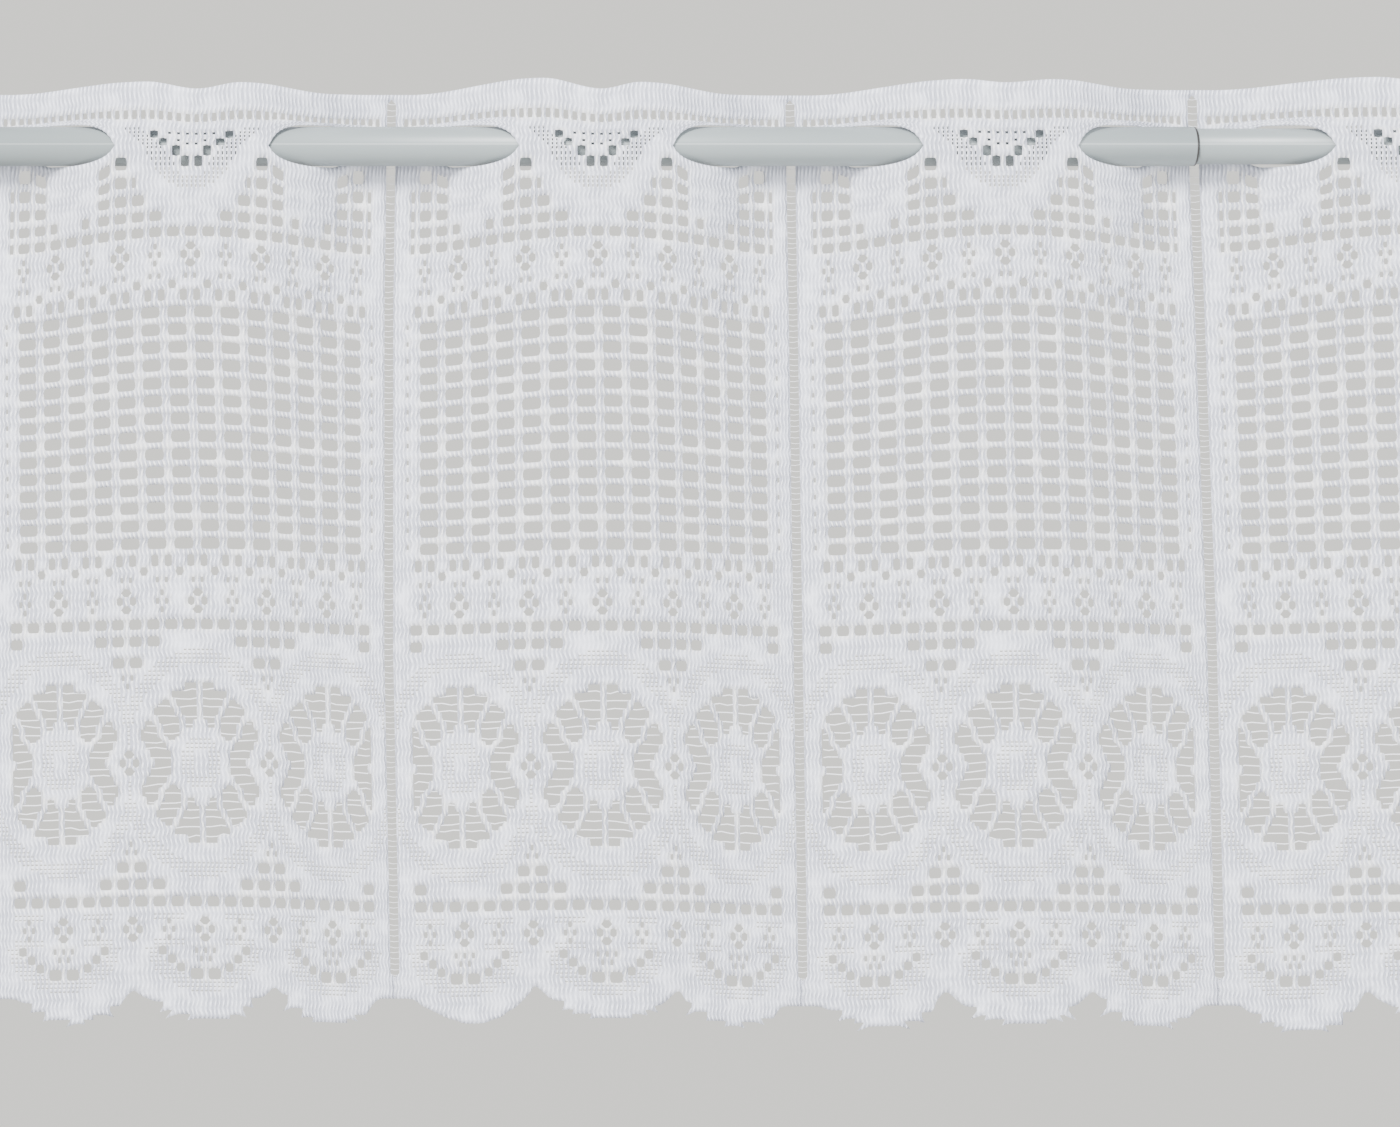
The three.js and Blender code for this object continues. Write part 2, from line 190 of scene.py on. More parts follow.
# A quarter of a medallion, from its middle row outward, as the offsets of the cells that are open.
MEDALLION_QUARTER = (
    ((7, 10),),
    ((7, 11),),
    ((7, 11),),
    ((8, 12),),
    ((8, 12),),
    ((6, 7), (9, 13)),
    ((5, 8), (10, 13)),
    ((5, 8), (10, 13)),
    ((2, 3), (5, 8), (10, 12)),
    ((2, 3), (5, 9), (11, 12)),
    ((1, 3), (5, 9)),
    ((1, 4), (6, 10)),
    ((1, 4), (6, 10)),
    ((1, 5), (7, 9)),
    ((1, 5), (7, 8)),
    ((1, 6),),
    ((1, 6),),
    ((1, 3),),
    ((1, 3),),
)

# Sizes of the openings, as wales across and rows down, and how square their outlines are.
FILET_SIZE = (2.8, 2.4)
EYELET_SIZE = (1.85, 2.15)
SLIT_SIZE = (0.7, 1.3)
TALL_SLIT_SIZE = (0.75, 1.8)
PETAL_SIZES = {"upper_and_lower": (2.5, 1.9), "sides": (1.5, 2.2), "small": (0.9, 1.7)}
PLAIN_SQUARENESS = 7
EYELET_SQUARENESS = 8
NET_SQUARENESS = 5
SLIT_SQUARENESS = 3
OPENING_SMOOTHING = 0.16
EDGE_YARN = 0.2
SHORTEST_WAY = 0.001

# The bridge in front of the rod: beading above it, eyelets in a vee, slits between them, and gauze.
BEADING = {"reach": 45, "rows": (-8, -7), "size": (1.15, 2.1)}
BRIDGE_EYELETS = (
    {"offsets": (1, 2), "rows": (3, 4)},
    {"offsets": (3, 4), "rows": (1, 2)},
    {"offsets": (6, 7), "rows": (-1, 0)},
    {"offsets": (8, 9), "rows": (-3, -2)},
)
BRIDGE_SLITS = {"offsets": (1, 3, 5, 1, 3), "rows": (-3, -3, -3, 0, -1)}
VEE_GAUZE = {"half_wales": 11, "rows": (-4, 4), "slope": 0.9, "breadth": 4.5}
ARCH_GAUZE = {"row": -1, "half_wales": 10, "half_rows": 10.5, "hollow": 0.72}

# Narrow openings beside the upper filets.
UPPER_EDGE_SLOTS = {"offset": 43, "rows": (8, 12, 16, 20), "size": (0.9, 2.5)}
UPPER_SLOTS = (
    {"offsets": (13, 13), "rows": (7, 9), "size": (0.9, 2.4)},
    {"offsets": (24, 25), "rows": (15, 17), "size": (1.8, 2.5)},
    {"offsets": (32, 33), "rows": (15, 17), "size": (1.8, 2.5)},
)

# The three rows of small holes between a row of flowers and the open net.
TRANSITION = {
    "slits": {"rows": (30, 31), "size": (0.8, 1.6)},
    "squares": {"rows": (32, 33), "size": (1.9, 2.0)},
    "uprights": {"rows": (34, 36), "size": (1.6, 2.9)},
}
GAUZE_BAR = {"half_wales": 3, "rows_away": (2.5, 3.5)}

# Eyelets, slits and a crescent of gauze in each scallop.
SCALLOP_EYELETS = (
    {"offsets": (9, 10), "rows": (186, 187), "size": (1.8, 2.1)},
    {"offsets": (7, 8), "rows": (188, 189), "size": (1.8, 2.1)},
    {"offsets": (5, 6), "rows": (190, 191), "size": (1.8, 2.1)},
    {"offsets": (1, 3), "rows": (191, 193), "size": (2.9, 2.6)},
)
SCALLOP_SLITS = {"offsets": (-2, 0, 2, -1, 1), "rows": (186, 186, 186, 188, 188)}
CRESCENT = {"row": 185, "inner": (9.5, 8), "outer": (13.2, 11.3)}

# Rungs between the repeats, in millimetres but for their tilt in rows and their inset in wales.
LADDER_STEP = 2.07
LADDER_YARN_RADIUS = 0.11
RUNG_TILT = 0.25
RUNG_INSET = 0.2
RUNG_SAG = 0.25

# Threads across the medallions, in wales and rows but for their radius in millimetres.
THREAD_RADIUS = 0.24
THREAD_POINTS = 9
THREAD_STEPS = (-8.5, 9)
THREAD_SPACING = 2
THREAD_OVAL = 9.6
THREAD_SHIFT = 0.15
THREAD_SLANT = 0.4
THREAD_WOBBLE = 0.3
YARN_SIDES = 5
YARN_SEED = 7

# Colours and roughness.
YARN_COLOR = (0.85, 0.87, 0.945)
YARN_CREAM = (0.875, 0.87, 0.855)
# Painted shade for the grooves between the knit's strands and the dips at its knots.
YARN_GROOVE_SHADE = (0.425, 0.44, 0.51)
YARN_ROUGHNESS = 0.75
YARN_SHEEN = {"weight": 0.2, "roughness": 0.4}
THREAD_COLORS = ((0.78, 0.78, 0.8), (0.9, 0.9, 0.93))
THREAD_ROUGHNESS = 0.7
THREAD_GRAIN = 900
ROD_COAT = (0.25, 0.285, 0.285)
# Colour of the painted highlight line along the front of the tubes.
ROD_HIGHLIGHT = (0.38, 0.415, 0.41)
# Painted shade round the outer tube's cut end, where it steps down to the inner tube.
ROD_CUT_SHADE = (0.03, 0.027, 0.025)
ROD_ROUGHNESS = {"start": 0.38, "least": 0.33, "spread": 0.1, "grain": 700}
CAP_COLOR = (0.74, 0.75, 0.74)
CAP_ROUGHNESS = 0.6
CAP_GRAIN = {"scale": 400, "strength": 0.15, "distance": 0.1}
FLOOR_COLOR = (0.74, 0.725, 0.69)
FLOOR_ROUGHNESS = 0.8

# The knit that the lace's material draws, in wales and rows. Patches of it have shallower grooves.
# Its grooves are bumped, and they are also painted darker with the groove colour as painted shade.
STITCH_ROWS = 4
STITCH_SWAY = 0.19
STRAND_NOISE = {"scale": 0.35, "detail": 3, "reach": 0.9}
STRAND_HALF_WIDTH = 0.4
STRAND_CROWN = 0.12
KNOT_SWELL = 0.05
KNOT_DIP = -0.25
STRAND_HEIGHT = 0.75
PATCH_NOISE = {"scale": 0.17, "detail": 2, "gain": 2.6, "offset": -0.35}
KNIT_BUMP = {"strength": 0.8, "distance": 0.35}

# Counts that keep the shader's fractions above zero. The half centres each strand on its wale.
ROWS_ASIDE = 50.0
WALES_ASIDE = 100.5

# Stage: a plain pale floor, soft studio light and a level camera square to the curtain. Lengths of
# the camera and its picture, as wide as that on the cloth's plane, are in millimetres. The others
# are in metres.
CAMERA_PLACE = (284.9, -3000, -154.3)
PICTURE_WIDTH = 518
SENSOR_WIDTH = 36
VIEW_LIMIT = 50  # metres
FLOOR_LEVEL = -1.2
FLOOR_HALF_WIDTH = 6
BACKDROP_COLOR = (1.13, 1.12, 1.06)
STUDIO_LIGHT = (0.96, 0.985, 1.055)
LIGHT_TARGET = (0.32, 0, -0.15)
LIGHTS = (
    {"name": "key", "location": (-0.8, -2.0, 1.6), "size": 1.0, "power": 215, "color": (1.0, 0.995, 0.995)},
    {"name": "fill", "location": (2.0, -2.2, 0.4), "size": 2.0, "power": 72, "color": (0.94, 0.97, 1.0)},
)


def mix(a, b, share):
    return a + (b - a) * share


def ease(low, high, value):
    t = np.clip((value - low) / (high - low), 0, 1)
    return t * t * (3 - 2 * t)


def weave(wale, level, heading):
    """The wave in and out of the rod: -1 in front of it, 1 behind it.

    Above the rod the cloth turns back sharply beside each bridge, and below it more slowly.
    """
    away = np.abs(wale - CENTRE_WALE)
    share = np.clip((away - BRIDGE_HALF_WALES) / (TURNED_BACK_WALES - BRIDGE_HALF_WALES), 0, 1)
    sharp = mix(share, ease(0, 1, share), share)
    slow = ease(0, 1, share**SKIRT_SLOWNESS)
    woven = 2 * np.where(heading, sharp, slow) - 1
    rolling = -np.cos(2 * np.pi * (wale - CENTRE_WALE) / WALES)
    return mix(woven, rolling, ease(*WAVE_ROUNDING, level))


def depth_at(wale, level, heading):
    share = np.maximum(level, 0) / HEM_LEVEL
    woven = WEAVE_DEPTH * (1 - (1 - LOWER_WAVE_SHARE) * share) * weave(wale, level, heading)
    bridge = 1 - ease(0, BRIDGE_HALF_WALES, np.abs(wale - CENTRE_WALE))
    return woven - BRIDGE_BULGE * bridge * (1 - ease(0, BULGE_FADE_LEVEL, level))


def slit_half_height(panel, wale, heading):
    """How far the rod holds a slit's side from its axis, 0 where the cloth is whole."""
    depth = depth_at(wale, 0, heading)
    hugging = np.sqrt(np.maximum(WEAVE_DEPTH**2 - depth**2, 0))
    held = np.minimum(np.where(depth > 0, np.maximum(hugging, BACK_LIP_RISE), hugging), LIP_REACH)
    away = np.abs(wale - CENTRE_WALE)
    rounding = np.where(heading, HEADING_LIP_ROUNDING, SKIRT_LIP_ROUNDING)
    turned = np.clip((away - BRIDGE_HALF_WALES) / rounding, 0, 1)
    rounded = LIP_REACH * np.sqrt(1 - (1 - turned) ** 2)
    share = (away - BRIDGE_HALF_WALES) / (TURNED_BACK_WALES - BRIDGE_HALF_WALES)
    above = np.where(depth > 0, held, np.maximum(held, rounded))
    below = mix(rounded, held, ease(*SKIRT_LIP_BLEND, share))
    closed = away <= BRIDGE_HALF_WALES
    if panel == 0:
        closed = closed | (wale <= BORDER_WALES)
    if panel == PANELS - 1:
        closed = closed | (wale >= WALES - BORDER_WALES)
    return np.where(closed, 0, np.where(heading, above, below))


def heading_lip(panel, wale):
    """The heading's side of a slit: it hugs the rod, and hangs a little lower behind it."""
    half = slit_half_height(panel, wale, True)
    away = np.abs(wale - CENTRE_WALE)
    behind = ease(*HEADING_BACK_WALES, away)
    return np.where(half > 0, mix(half, HEADING_BACK_LIP, behind), 0)


def heading_edge(panel, wale):
    left, right = SEAMS[panel]["heading_rise"], SEAMS[panel + 1]["heading_rise"]
    row = REPEATS[panel]
    knots = (0, HUMP_FOOT[0], row["humps"][0], HUMP_FOOT[1], row["humps"][1], HUMP_FOOT[2], WALES)
    rises = (left, left, *row["rises"], right, right)
    edge = np.full(np.shape(wale), HEADING_TOP + left)
    for start, end, low, high in zip(knots, knots[1:], rises, rises[1:]):
        edge = edge + (high - low) * ease(start, end, wale)
    return edge


def hem_edge(panel, wale):
    row = REPEATS[panel]
    left, right = SEAMS[panel]["hem"], SEAMS[panel + 1]["hem"]
    levels = (left, *row["cusps"], right)
    edge = np.where(wale <= SCALLOP_EDGES[0], left, right)
    for index, lowest in enumerate(row["scallops"]):
        start, end = SCALLOP_EDGES[index], SCALLOP_EDGES[index + 1]
        share = (wale - start) / (end - start)
        chord = mix(levels[index], levels[index + 1], share)
        scallop = chord + (lowest - chord) * (1 - np.abs(2 * share - 1) ** SCALLOP_ROUNDNESS)
        edge = np.where((wale >= start) & (wale <= end), scallop, edge)
    return edge


def nearest_scallop(offset):
    """The offset of the middle of the nearest scallop."""
    middles = (np.array(SCALLOP_EDGES[1:]) + SCALLOP_EDGES[:-1]) / 2 - CENTRE_WALE
    return middles[np.argmin(np.abs(np.subtract.outer(offset, middles)), axis=-1)]


def is_jagged(panel, wale):
    """True on the scallops that were cut out step by step."""
    scallop = np.searchsorted(SCALLOP_EDGES, wale) - 1
    on_scallop = (scallop >= 0) & (scallop < len(SCALLOP_EDGES) - 1)
    return on_scallop & np.take(REPEATS[panel]["jagged"], scallop, mode="clip")


def cut_edge(panel, wale):
    """The hem as it was cut: smooth on some scallops, in steps of a few wales on the others."""
    ends = np.cumsum(HEM_STEP_PATTERN * (WALES // len(HEM_STEP_PATTERN)))
    step = np.searchsorted(ends, wale)
    stepped = ends[step] - np.take(HEM_STEP_PATTERN, step % len(HEM_STEP_PATTERN)) / 2
    near_cusp = np.abs(wale - CENTRE_WALE - nearest_scallop(wale - CENTRE_WALE)) > SMOOTH_FROM_WALES
    smooth = ~is_jagged(panel, wale) | near_cusp
    return np.where(smooth, hem_edge(panel, wale), hem_edge(panel, stepped))


def hang(panel, offset, row, heading):
    """Places points of the chart on the hung cloth, as an array of x, y and z in millimetres."""
    wale = offset + CENTRE_WALE
    level = (row - SLIT_ROW) * ROW_HEIGHT
    left = np.interp(level, SEAM_LEVELS, SEAMS[panel]["x"])
    right = np.interp(level, SEAM_LEVELS, SEAMS[panel + 1]["x"])
    x = mix(left, right, np.interp(wale, ACROSS_WALES, ACROSS_SHARES[panel]))
    arch = (1 + np.cos(2 * np.pi * (wale - CENTRE_WALE) / WALES)) / 2
    x = x + arch * np.interp(level, SWAY_LEVELS, REPEATS[panel]["sway"])
    left_sag = np.interp(level, SAG_LEVELS, SEAMS[panel]["sag"])
    right_sag = np.interp(level, SAG_LEVELS, SEAMS[panel + 1]["sag"])
    sag = mix(left_sag, right_sag, wale / WALES)
    resting = np.interp(level, BOW_LEVELS, BOWS) * arch - SEAM_DROP - sag
    stretch = LIP_STRETCH * ease(*STRETCH_GROWS, level) * (1 - ease(*STRETCH_FADES, level))
    lip = -slit_half_height(panel, wale, False)
    skirt_z = mix(lip, resting, ease(0, LIP_FADE_LEVEL, level)) - level - stretch
    edge = heading_edge(panel, wale)
    drop = BEADING_DROP + BEADING_DROP_SHARE * (edge - HEADING_TOP)
    beading = edge - drop
    top_line = TOP_ROW - 0.5
    above = edge - drop * (row - top_line) / (BEADING_ROW - top_line)
    below = mix(beading, heading_lip(panel, wale), (row - BEADING_ROW) / (SLIT_ROW - BEADING_ROW))
    heading_z = np.where(row < BEADING_ROW, above, below)
    y = depth_at(wale, np.where(heading, 0, level), heading)
    return np.stack([x, y, np.where(heading, heading_z, skirt_z)], axis=-1)


def cloth_normals(panel, offset, row, heading):
    """The way out of the cloth's back at points of the chart."""
    step = NORMAL_STEP
    top = np.where(heading, row - step, np.maximum(row - step, SLIT_ROW))
    bottom = np.where(heading, np.minimum(row + step, SLIT_ROW), row + step)
    across = hang(panel, offset + step, row, heading) - hang(panel, offset - step, row, heading)
    down = hang(panel, offset, bottom, heading) - hang(panel, offset, top, heading)
    across[:, 2] = 0
    down[:, 0] = 0
    normals = np.cross(across, down)
    return normals / np.linalg.norm(normals, axis=1, keepdims=True)


class Chart:
    """The lace's chart: which cells are open, which are gauze, and the outline of each opening."""

    NO_OPENING = -1

    def __init__(self):
        self.rows = np.arange(TOP_ROW, LAST_ROW + 1)
        self.offsets = np.arange(-EDGE_OFFSET, EDGE_OFFSET + 1)
        self.row_grid, self.offset_grid = np.meshgrid(self.rows, self.offsets, indexing="ij")
        self.opening = np.full(self.row_grid.shape, self.NO_OPENING)
        self.gauze = np.zeros(self.row_grid.shape, bool)
        self.outlines = []

    def box(self, offsets, rows):
        inside_rows = (self.row_grid >= rows[0]) & (self.row_grid <= rows[1])
        return inside_rows & (self.offset_grid >= offsets[0]) & (self.offset_grid <= offsets[1])

    def open_box(self, offsets, rows, size, squareness=PLAIN_SQUARENESS):
        """Opens a box of cells whose knitted outline is a rounded box of that size."""
        self.opening[self.box(offsets, rows)] = len(self.outlines)
        centre = ((offsets[0] + offsets[1]) / 2, (rows[0] + rows[1]) / 2)
        self.outlines.append({"centre": centre, "size": size, "squareness": squareness})

    def open_pair(self, offsets, rows, size, squareness=PLAIN_SQUARENESS):
        """Opens a box of cells and its mirror image across the repeat's centre."""
        self.open_box(offsets, rows, size, squareness)
        if offsets[0] + offsets[1] != 0:
            self.open_box((-offsets[1], -offsets[0]), rows, size, squareness)

    def open_slit(self, offset, rows, size):
        """Opens a narrow slit, one wale wide."""
        self.open_box((offset, offset), rows, size, SLIT_SQUARENESS)

    def open_slits(self, offset, rows, size):
        """Opens a narrow slit and its mirror image."""
        self.open_pair((offset, offset), rows, size, SLIT_SQUARENESS)

    def open_shape(self, cells):
        """Opens cells whose outline is simply smoothed."""
        self.opening[cells] = len(self.outlines)
        self.outlines.append(None)


def add_filets(chart, row, offsets):
    for offset in offsets:
        chart.open_pair((offset - 1, offset + 1), (row - 1, row + 1), FILET_SIZE)


def add_large_flower(chart, offset, row):
    """Four round holes about a centre that lies between two rows."""
    for end in (-2, 2):
        chart.open_slit(offset, (row + end - 0.5, row + end + 0.5), PETAL_SIZES["upper_and_lower"])
    for side in (-1.5, 1.5):
        offsets = (offset + side - 0.5, offset + side + 0.5)
        chart.open_box(offsets, (row - 0.5, row + 0.5), PETAL_SIZES["sides"], SLIT_SQUARENESS)


def add_small_flower(chart, offset, row):
    """Four tiny slits."""
    size = PETAL_SIZES["small"]
    for end in (-2, 2):
        chart.open_slit(offset, (row + end - 0.5, row + end + 0.5), size)
    for side in (-1, 1):
        chart.open_slit(offset + side, (row - 0.5, row + 0.5), size)


def add_gauze_bars(chart, row):
    """Bars of gauze above and below the small flowers of the row above the hem."""
    near, far = GAUZE_BAR["rows_away"]
    for index in range(-FLOWERS_BESIDE, FLOWERS_BESIDE + 1, 2):
        middle = index * FLOWER_STEP
        offsets = (middle - GAUZE_BAR["half_wales"], middle + GAUZE_BAR["half_wales"])
        chart.gauze |= chart.box(offsets, (row - far, row - near))
        chart.gauze |= chart.box(offsets, (row + near, row + far))


def add_flower_row(chart, row):
    for index in range(-FLOWERS_BESIDE, FLOWERS_BESIDE + 1):
        add_flower = add_small_flower if index % 2 else add_large_flower
        add_flower(chart, index * FLOWER_STEP, row)


def add_net_transition(chart, mirror):
    """The rows of small holes between a row of flowers and the open net, above it or mirrored below."""
    slits, squares, uprights = TRANSITION["slits"], TRANSITION["squares"], TRANSITION["uprights"]

    def rows(hole):
        first, last = hole["rows"]
        return (2 * MESH_MIRROR - last, 2 * MESH_MIRROR - first) if mirror else (first, last)

    for index in range(-FLOWERS_BESIDE, FLOWERS_BESIDE + 1):
        offset = index * FLOWER_STEP
        for side in (-1, 1):
            chart.open_slit(offset + side, rows(slits), slits["size"])
            beside = sorted((offset + side, offset + 2 * side))
            chart.open_box(beside, rows(uprights), uprights["size"])
    for index in range(-FLOWERS_BESIDE, FLOWERS_BESIDE):
        middle = index * FLOWER_STEP + FLOWER_STEP // 2
        chart.open_box((middle, middle), rows(squares), squares["size"])


def add_open_net(chart):
    """The net's meshes between its bars, with a narrow slit at each end of a row of them."""
    across, down = MESH["column_step"], MESH["row_step"]
    for column in range(MESH["half_columns"]):
        start = column * across
        for index in range(MESH["rows"]):
            bar = MESH["first_bar_row"] + index * down
            rows = (bar + 1, bar + down - 1)
            chart.open_pair((start + 1, start + across - 1), rows, MESH["size"], NET_SQUARENESS)
            if column == 0:
                chart.open_slits(MESH["edge_offset"], (bar + 1, bar + 2), MESH["edge_size"])


def add_bridge(chart):
    """The eyelets in front of the rod, in a vee, with beading above them and gauze outside them."""
    for offset in range(-BEADING["reach"], BEADING["reach"] + 1, 2):
        chart.open_box((offset, offset), BEADING["rows"], BEADING["size"], NET_SQUARENESS)
    for eyelet in BRIDGE_EYELETS:
        chart.open_pair(eyelet["offsets"], eyelet["rows"], EYELET_SIZE, EYELET_SQUARENESS)
    for offset, row in zip(*BRIDGE_SLITS.values()):
        chart.open_slits(offset, (row, row), SLIT_SIZE)
    first, last = VEE_GAUZE["rows"]
    away = np.abs(chart.offset_grid) - VEE_GAUZE["half_wales"]
    beyond = away + (chart.row_grid - first) * VEE_GAUZE["slope"]
    beside = (beyond > 0) & (beyond < VEE_GAUZE["breadth"])
    chart.gauze |= beside & (chart.row_grid >= first) & (chart.row_grid <= last)
    down = (chart.row_grid - ARCH_GAUZE["row"]) / ARCH_GAUZE["half_rows"]
    arch = np.hypot(chart.offset_grid / ARCH_GAUZE["half_wales"], down)
    chart.gauze |= (arch > ARCH_GAUZE["hollow"]) & (arch < 1) & (chart.row_grid > last)


def add_upper_filets(chart):
    rows = (
        (4, (16, 20, 36, 40)),
        (8, (16, 20, 36, 40)),
        (12, (12, 16, 20, 36, 40)),
        (16, (8, 12, 16, 20, 36, 40)),
        (20, range(0, 41, 4)),
    )
    for row, offsets in rows:
        add_filets(chart, row, offsets)
    edge = (UPPER_EDGE_SLOTS["offset"], UPPER_EDGE_SLOTS["offset"])
    for row in UPPER_EDGE_SLOTS["rows"]:
        chart.open_pair(edge, (row - 1, row + 1), UPPER_EDGE_SLOTS["size"])
    for slot in UPPER_SLOTS:
        chart.open_pair(slot["offsets"], slot["rows"], slot["size"])


def add_lower_filets(chart):
    every = range(2, 43, 4)
    beside = (10, 14, 18, 22, 42)
    rows = ((110, every), (114, beside), (119, (14, 18)), (167, (14, 18)), (171, beside), (175, every))
    for row, offsets in rows:
        add_filets(chart, row, offsets)
    for row, spread in ((122, 1), (124, 0), (161, 0), (163, 1)):
        for side in {-spread, spread}:
            chart.open_slits(BETWEEN_MEDALLIONS + side, (row, row + 1), TALL_SLIT_SIZE)


def medallion_radius(chart, offset):
    """1 along the outer ends of a medallion's openings."""
    half_wales, half_rows = MEDALLION_REACH
    return np.hypot((chart.offset_grid - offset) / half_wales, (chart.row_grid - MEDALLION_ROW) / half_rows)


def add_medallions(chart):
    nearest = np.min([medallion_radius(chart, offset) for offset in MEDALLION_OFFSETS], axis=0)
    chart.gauze |= (nearest > MEDALLION_RING[0]) & (nearest < MEDALLION_RING[1])
    for offset in MEDALLION_OFFSETS:
        across = (chart.offset_grid - offset) / MEDALLION_MIDDLE["half_wales"]
        down = (chart.row_grid - MEDALLION_ROW) / MEDALLION_MIDDLE["half_rows"]
        middle = np.hypot(across, down)
        chart.gauze |= (middle < 1) & (middle > MEDALLION_MIDDLE["hollow"])
        open_cells = np.zeros(chart.opening.shape, bool)
        for index, runs in enumerate(MEDALLION_QUARTER):
            for side in (-1, 1):
                row = MEDALLION_ROW + side * (index + 0.5)
                for first, last in runs:
                    open_cells |= chart.box((offset + first, offset + last), (row, row))
                    open_cells |= chart.box((offset - last, offset - first), (row, row))
        open_cells &= np.abs(chart.offset_grid) <= MEDALLION_CLIP
        for cells in separate_groups(open_cells):
            chart.open_shape(cells)
    for offset in (-BETWEEN_MEDALLIONS, BETWEEN_MEDALLIONS):
        add_large_flower(chart, offset, MEDALLION_ROW)


def separate_groups(cells):
    """Splits a set of cells into groups that touch side by side."""
    waiting = set(zip(*np.nonzero(cells)))
    while waiting:
        group = np.zeros(cells.shape, bool)
        edge = [waiting.pop()]
        while edge:
            row, column = edge.pop()
            group[row, column] = True
            for near in ((row - 1, column), (row + 1, column), (row, column - 1), (row, column + 1)):
                if near in waiting:
                    waiting.remove(near)
                    edge.append(near)
        yield group


def add_scallop_eyelets(chart):
    for centre in MEDALLION_OFFSETS:
        for eyelet in SCALLOP_EYELETS:
            near, far = eyelet["offsets"]
            chart.open_box((centre + near, centre + far), eyelet["rows"], eyelet["size"])
            chart.open_box((centre - far, centre - near), eyelet["rows"], eyelet["size"])
        for offset, row in zip(*SCALLOP_SLITS.values()):
            chart.open_slit(centre + offset, (row, row + 1), TALL_SLIT_SIZE)
        across, down = chart.offset_grid - centre, chart.row_grid - CRESCENT["row"]
        outside = np.hypot(across / CRESCENT["inner"][0], down / CRESCENT["inner"][1]) > 1
        inside = np.hypot(across / CRESCENT["outer"][0], down / CRESCENT["outer"][1]) < 1
        chart.gauze |= outside & inside & (down > 0)


def make_chart():
    chart = Chart()
    add_bridge(chart)
    add_upper_filets(chart)
    add_flower_row(chart, FLOWER_ROWS["above_net"])
    add_net_transition(chart, False)
    add_open_net(chart)
    add_net_transition(chart, True)
    add_flower_row(chart, FLOWER_ROWS["below_net"])
    add_lower_filets(chart)
    add_medallions(chart)
    add_flower_row(chart, FLOWER_ROWS["above_hem"])
    add_gauze_bars(chart, FLOWER_ROWS["above_hem"])
    add_scallop_eyelets(chart)
    return chart


